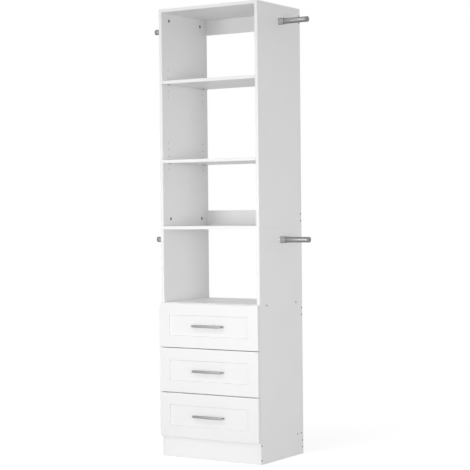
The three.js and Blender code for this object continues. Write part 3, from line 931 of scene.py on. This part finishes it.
class CLOSET_OT_panel_screws(bpy.types.Operator):
    """Drive the socket-head screws into the side panels"""

    bl_idname = "closet.panel_screws"
    bl_label = "Panel screws"

    RAILS = ("deck_back_rail", "base_back_rail", "plinth", "middle_back_rail", "top_back_rail")

    def execute(self, context):
        fixings = context.scene.closet_fixings
        steel = nickel_plated_steel()
        for side, hand in SIDES.items():
            x = face_of(f"lower_side_{side}", outer=True, hand=hand)
            made = bmesh.new()
            for y, z in self.places(fixings):
                self.screw(fixings, made, (x, y, z), hand)
            finished(f"panel_screws_{side}", made, steel, "carcass")
        return {"FINISHED"}

    def places(self, fixings):
        """Y and Z of every screw in one side of the carcass."""
        low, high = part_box("lower_side_left")
        front, rear = low.y + fixings.front_inset, high.y - fixings.rear_inset
        found = []
        deck = middle(*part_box("drawer_deck"))
        found += [(front, deck.z), (rear, deck.z)]
        low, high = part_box("base_stretcher")
        stretcher_z = (low.z + high.z) / 2
        found += [
            (high.y - fixings.rail_inset, stretcher_z), (low.y + fixings.rail_inset, stretcher_z)
        ]
        for rail in self.RAILS:
            low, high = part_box(rail)
            y = (low.y + high.y) / 2
            found += [(y, low.z + fixings.rail_inset), (y, high.z - fixings.rail_inset)]
        return found

    def screw(self, fixings, made, place, hand):
        """A countersunk head just under the face, with a 4 mm hexagonal socket."""
        head, sink, shank = fixings.screw_head / 2, fixings.screw_sink, 2.45 * MM
        socket = hexagon(4 * MM)
        reach, top = 8 * MM, 0.12 * MM
        rings = [
            (0, reach), (shank, reach), (shank, sink), (head, 0.25 * MM),
            (head - 0.15 * MM, top), (socket, top), (socket, 2.4 * MM), (0, 2.9 * MM),
        ]
        turned(made, rings, PANEL_SCREW_SIDES, place, (-hand, 0, 0))


class CLOSET_OT_cam_locks(bpy.types.Operator):
    """Set the cam locks into the inner faces of the upper sides"""

    bl_idname = "closet.cam_locks"
    bl_label = "Cam locks"

    def execute(self, context):
        fixings = context.scene.closet_fixings
        zinc = die_cast_zinc()
        for side, hand in SIDES.items():
            # The shelf pins stand out from the panel, so its face comes from the lower side
            inner = face_of(f"lower_side_{side}", outer=False, hand=hand)
            low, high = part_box(f"upper_side_{side}")
            made = bmesh.new()
            for z in (low.z + fixings.cam_inset, high.z - fixings.cam_inset):
                for y in (low.y + fixings.front_inset, high.y - fixings.rear_inset):
                    self.lock(fixings, made, (inner, y, z), hand)
            finished(f"cam_locks_{side}", made, zinc, "carcass")
        return {"FINISHED"}

    def lock(self, fixings, made, place, hand):
        """A cast housing with a deep cross recess and a sunk ring round it."""
        radius, depth = fixings.cam_diameter / 2, 12 * MM
        recess = cross(4.2 * MM, 2 * MM)
        rings = [
            (0, depth), (radius, depth), (radius, 0.7 * MM), (radius - 0.3 * MM, 0.4 * MM),
            (radius - 1.4 * MM, 0.4 * MM), (radius - 1.6 * MM, 1 * MM),
            (radius - 2.2 * MM, 1 * MM), (radius - 2.4 * MM, 0.5 * MM),
            (recess, 0.5 * MM), (recess, 5 * MM), (0, 6 * MM),
        ]
        turned(made, rings, CAM_LOCK_SIDES, place, (hand, 0, 0))


class CLOSET_OT_shelf_pins(bpy.types.Operator):
    """Plate the shelf pins and drill through to bare chipboard in the spare holes, darkened there
    as painted shade
    """

    bl_idname = "closet.shelf_pins"
    bl_label = "Shelf pins"

    # Spare holes under and over the one in use, counted from its own
    SPARE = {"shelf_upper": (-2, -1, 1, 2), "shelf_lower": (-1, 1, 2, 3)}

    def execute(self, context):
        fixings = context.scene.closet_fixings
        steel = nickel_plated_steel()
        # Bare chipboard colour, darkened as painted shade in the spare holes
        core = chipboard()
        for side, hand in SIDES.items():
            inner = face_of(f"lower_side_{side}", outer=False, hand=hand)
            low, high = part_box(f"lower_side_{side}")
            columns = (low.y + fixings.pin_front_inset, high.y - fixings.pin_rear_inset)
            pins, holes = bmesh.new(), bmesh.new()
            for shelf, spare in self.SPARE.items():
                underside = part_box(shelf)[0].z
                for y in columns:
                    self.pin(fixings, pins, inner, hand, y, underside)
                    for step in spare:
                        z = underside + fixings.pin_rise + step * fixings.pin_pitch
                        self.hole(holes, (inner, y, z), hand)
            finished(f"shelf_pins_{side}", pins, steel, "carcass")
            finished(f"shelf_pin_holes_{side}", holes, core, "carcass")
        return {"FINISHED"}

    def hole(self, made, place, hand):
        """The cut face all round a 5 mm hole and over its floor."""
        cut, skin, mouth, floor = 2.28 * MM, 0.1 * MM, 0.1 * MM, 8.9 * MM
        rings = [
            (0, floor), (cut, floor), (cut, mouth), (cut - skin, mouth),
            (cut - skin, floor - skin), (0, floor - skin),
        ]
        turned(made, rings, PIN_HOLE_SIDES, place, (hand, 0, 0))

    def pin(self, fixings, made, inner, hand, y, underside):
        """The plating over a pin's two plates, a shade proud of the frame's own pin."""
        skin = 0.03 * MM
        half = fixings.pin_width / 2 + skin
        back, reach, rise, plate = 1 * MM + skin, 10 * MM + skin, 6 * MM + skin, 1.5 * MM
        outline = [
            (0, -plate - skin), (reach, -plate - skin), (reach, skin), (back, skin),
            (back, rise), (0, rise),
        ]
        ends = [
            [
                made.verts.new((inner - hand * out, y + end * half, underside + up))
                for out, up in outline
            ]
            for end in (-1, 1)
        ]
        made.faces.new(ends[0])
        made.faces.new(ends[1][::-1])
        for corner in range(len(outline)):
            after = (corner + 1) % len(outline)
            made.faces.new((ends[0][corner], ends[0][after], ends[1][after], ends[1][corner]))


class CLOSET_OT_studio(bpy.types.Operator):
    """Set up the floor, the soft light and the camera"""

    bl_idname = "closet.studio"
    bl_label = "Studio"

    # Where each lamp stands, and its soft box's width and height, in metres
    LAMPS = {
        "key": ((-1.5, -6.2, 0.9), (2.6, 1.8)),
        "side": ((5.2, -3.5, 0.9), (3.4, 2.0)),
        "top": ((-0.6, -4.6, 4.6), (2.0, 2.0)),
    }
    # The floor lies this far under the feet, so that the two don't share a plane
    FLOOR_DROP = 0.2 * MM

    def execute(self, context):
        studio = context.scene.closet_studio
        context.scene.view_settings.view_transform = "Standard"
        self.world(context.scene, studio)
        self.floor(studio)
        self.lamps(studio)
        self.camera(context.scene, studio)
        return {"FINISHED"}

    def shown_white(self, tree):
        """1 for what the camera, a mirror or glass sees, 0 for light that falls on a surface."""
        path = node(tree, "ShaderNodeLightPath")
        seen = node(
            tree, "ShaderNodeMath",
            {0: path.outputs["Is Camera Ray"], 1: path.outputs["Is Glossy Ray"]},
            operation="MAXIMUM",
        )
        return node(
            tree, "ShaderNodeMath",
            {0: seen, 1: path.outputs["Is Transmission Ray"]}, operation="MAXIMUM",
        )

    def world(self, scene, studio):
        world = scene.world or bpy.data.worlds.new("studio_world")
        scene.world = world
        world.use_nodes = True
        tree = world.node_tree
        tree.nodes.clear()
        shown = self.shown_white(tree)
        strength = node(
            tree, "ShaderNodeMix", {FACTOR: shown, FIRST_NUMBER: studio.fill, SECOND_NUMBER: 1.0}
        )
        sky = node(
            tree, "ShaderNodeBackground",
            {"Color": linear(0xFFFFFF), "Strength": strength},
        )
        node(tree, "ShaderNodeOutputWorld", {"Surface": sky})

    def floor(self, studio):
        made = bmesh.new()
        bmesh.ops.create_circle(
            made, cap_ends=True, segments=FLOOR_SIDES, radius=studio.floor_radius
        )
        mesh = bpy.data.meshes.new("studio_floor")
        made.to_mesh(mesh)
        made.free()
        floor = bpy.data.objects.new("studio_floor", mesh)
        floor.location.z = -self.FLOOR_DROP
        bpy.context.collection.objects.link(floor)
        mesh.materials.append(self.floor_paper(studio))

    def floor_paper(self, studio):
        """Pale paper that keeps the tower's shadow and fades to the white of the backdrop."""
        material, tree = new_material("studio_floor_paper")
        paper = node(tree, "ShaderNodeBsdfDiffuse", {"Color": tuple(studio.floor)})
        shown = self.shown_white(tree)
        lift = node(
            tree, "ShaderNodeMath", {0: shown, 1: studio.floor_lift}, operation="MULTIPLY"
        )
        glow = node(tree, "ShaderNodeEmission", {"Strength": lift})
        near = node(tree, "ShaderNodeAddShader", {0: paper, 1: glow})
        place = node(tree, "ShaderNodeTexCoord").outputs["Object"]
        away = node(tree, "ShaderNodeVectorMath", {0: place}, operation="LENGTH")
        fade = node(
            tree, "ShaderNodeMapRange",
            {
                "Value": away.outputs["Value"], "From Min": studio.floor_fade_start,
                "From Max": studio.floor_fade_end, "To Min": 0.0, "To Max": shown,
            },
            interpolation_type="SMOOTHSTEP",
        )
        white = node(tree, "ShaderNodeEmission", {"Strength": 1.0})
        both = node(
            tree, "ShaderNodeMixShader",
            {0: fade, 1: near, 2: white},
        )
        node(tree, "ShaderNodeOutputMaterial", {"Surface": both})
        return material

    def lamps(self, studio):
        """Soft boxes that all look at one spot on the tower's axis."""
        target = Vector((0, 0, studio.aim_height))
        for name, (place, size) in self.LAMPS.items():
            light = bpy.data.lights.new(name, "AREA")
            light.shape = "RECTANGLE"
            light.size, light.size_y = size
            light.energy = getattr(studio, f"{name}_power")
            light.spread = studio.spread
            lamp = bpy.data.objects.new(name, light)
            lamp.location = place
            aim = target - lamp.location
            lamp.rotation_euler = aim.to_track_quat("-Z", "Y").to_euler()
            bpy.context.collection.objects.link(lamp)

    def camera(self, scene, studio):
        """A camera that stands, turns, tilts and rolls as the photograph's did."""
        yaw, pitch, roll = studio.camera_yaw, studio.camera_pitch, studio.camera_roll
        ahead = Vector((
            -math.sin(yaw) * math.cos(pitch), math.cos(yaw) * math.cos(pitch), math.sin(pitch)
        ))
        level = Vector((math.cos(yaw), math.sin(yaw), 0))
        upright = level.cross(ahead)
        right = level * math.cos(roll) + upright * math.sin(roll)
        top = upright * math.cos(roll) - level * math.sin(roll)
        view = bpy.data.cameras.new("camera")
        view.sensor_width = SENSOR_WIDTH
        view.lens = studio.focal_pixels * SENSOR_WIDTH / IMAGE_PIXELS
        view.clip_end = FAR_CLIP
        camera = bpy.data.objects.new("camera", view)
        camera.matrix_world = Matrix.Translation(studio.camera_place) @ Matrix(
            [[right[i], top[i], -ahead[i], 0] for i in range(3)] + [[0, 0, 0, 1]]
        )
        bpy.context.collection.objects.link(camera)
        scene.camera = camera


class CLOSET_PT_tower(bpy.types.Panel):
    """Lists what the closet tower is made of"""

    bl_idname = "CLOSET_PT_tower"
    bl_label = "Closet Tower"
    bl_space_type = "VIEW_3D"
    bl_region_type = "UI"
    bl_category = "Closet Tower"

    def draw(self, context):
        for step in STEPS:
            self.layout.operator(step.bl_idname)
        for holder in SETTINGS:
            group = getattr(context.scene, holder)
            box = self.layout.box()
            box.label(text=type(group).__doc__)
            for name in type(group).__annotations__:
                box.prop(group, name)


STEPS = (
    CLOSET_OT_studio,
    CLOSET_OT_boards,
    CLOSET_OT_drawer_fronts,
    CLOSET_OT_pulls,
    CLOSET_OT_rods,
    CLOSET_OT_slides,
    CLOSET_OT_panel_screws,
    CLOSET_OT_cam_locks,
    CLOSET_OT_shelf_pins,
)
SETTINGS = {
    "closet_finishes": ClosetFinishes,
    "closet_rods": ClosetRods,
    "closet_drawers": ClosetDrawers,
    "closet_fixings": ClosetFixings,
    "closet_studio": ClosetStudio,
}


def register():
    for group in (*SETTINGS.values(), *STEPS, CLOSET_PT_tower):
        bpy.utils.register_class(group)
    for holder, group in SETTINGS.items():
        setattr(bpy.types.Scene, holder, PointerProperty(type=group))


def unregister():
    for holder in SETTINGS:
        delattr(bpy.types.Scene, holder)
    for group in reversed((*SETTINGS.values(), *STEPS, CLOSET_PT_tower)):
        bpy.utils.unregister_class(group)


def corners(bounds):
    return [list(corner) for corner in bounds]


def main():
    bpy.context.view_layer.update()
    register()
    for step in STEPS:
        getattr(bpy.ops.closet, step.bl_idname.split(".")[1])()


if __name__ == "__main__":
    main()
